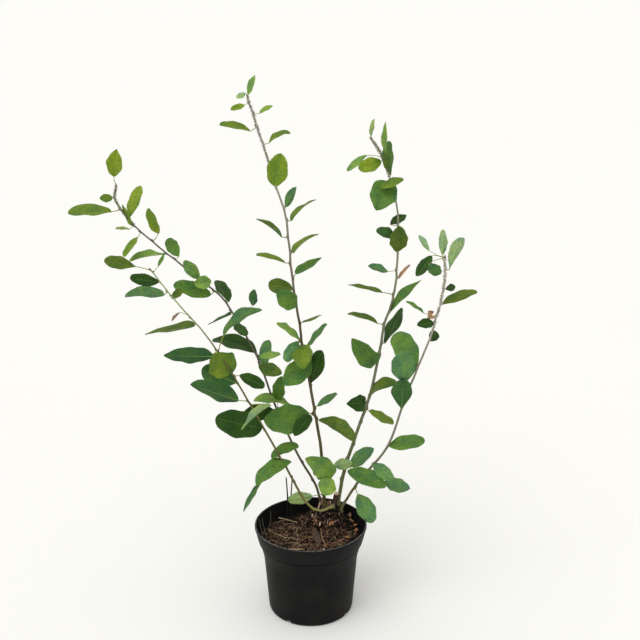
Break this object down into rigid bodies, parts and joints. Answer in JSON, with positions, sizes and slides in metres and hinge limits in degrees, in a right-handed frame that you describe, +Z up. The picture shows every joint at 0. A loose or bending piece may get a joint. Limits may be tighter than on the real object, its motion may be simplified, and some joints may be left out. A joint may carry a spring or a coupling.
{
  "type": "potted juneberry",
  "caption": "Young potted juneberry shrub: slender leafy stems spreading like a fan from a heap of bark mix in a round flared nursery pot.",
  "frame": {"origin": "centre of the pot's flat underside", "axes": "+Z up, +X to the right and -Y towards the side the plant is seen from"},
  "size_m": [0.5825, 0.2856, 0.8066],
  "materials": {
    "pot_plastic": "matt near-black moulded plastic, slightly worn along the rim",
    "potting_mix": "loose damp bark and peat with pale chips and straw fibres",
    "young_bark": "smooth thin grey-brown bark, more olive near the foot",
    "foliage": "soft satin leaf green, yellower at the tips and bluish below"
  },
  "bodies": {
    "root": {"pot": "pot_plastic", "potting_mix": "potting_mix", "stem_front_left_low_bend": "young_bark", "stem_front_left": "young_bark", "stem_back_left": "young_bark", "stem_centre": "young_bark", "stem_back_right": "young_bark", "stem_front_right": "young_bark", "leaves_front_left_01": "foliage", "leaves_front_left_02": "foliage", "leaves_front_left_03": "foliage", "leaves_front_left_04": "foliage", "leaves_front_left_05": "foliage", "leaves_front_left_06": "foliage", "leaves_front_left_07": "foliage", "leaves_front_left_08": "foliage", "leaves_front_left_09": "foliage", "leaves_back_left_01": "foliage", "leaves_back_left_02": "foliage", "leaves_back_left_03": "foliage", "leaves_back_left_04": "foliage", "leaves_back_left_05": "foliage", "leaves_back_left_06": "foliage", "leaves_back_left_07": "foliage", "leaves_back_left_08": "foliage", "leaves_back_left_09": "foliage", "leaves_centre_01": "foliage", "leaves_centre_02": "foliage", "leaves_centre_03": "foliage", "leaves_centre_04": "foliage", "leaves_centre_05": "foliage", "leaves_centre_06": "foliage", "leaves_centre_07": "foliage", "leaves_centre_08": "foliage", "leaves_centre_09": "foliage", "leaves_centre_10": "foliage", "leaves_centre_11": "foliage", "leaves_centre_12": "foliage", "leaves_centre_13": "foliage", "leaves_centre_14": "foliage", "leaves_back_right_01": "foliage", "leaves_back_right_02": "foliage", "leaves_back_right_03": "foliage", "leaves_back_right_04": "foliage", "leaves_back_right_05": "foliage", "leaves_back_right_06": "foliage", "leaves_back_right_07": "foliage", "leaves_back_right_08": "foliage", "leaves_back_right_09": "foliage", "leaves_back_right_10": "foliage", "leaves_front_right_01": "foliage", "leaves_front_right_02": "foliage", "leaves_front_right_03": "foliage", "leaves_front_right_04": "foliage", "leaves_front_right_05": "foliage", "leaves_front_right_06": "foliage", "leaves_front_right_07": "foliage", "leaves_front_right_08": "foliage", "leaves_front_right_09": "foliage", "leaves_front_right_10": "foliage"}
  },
  "joints": []
}
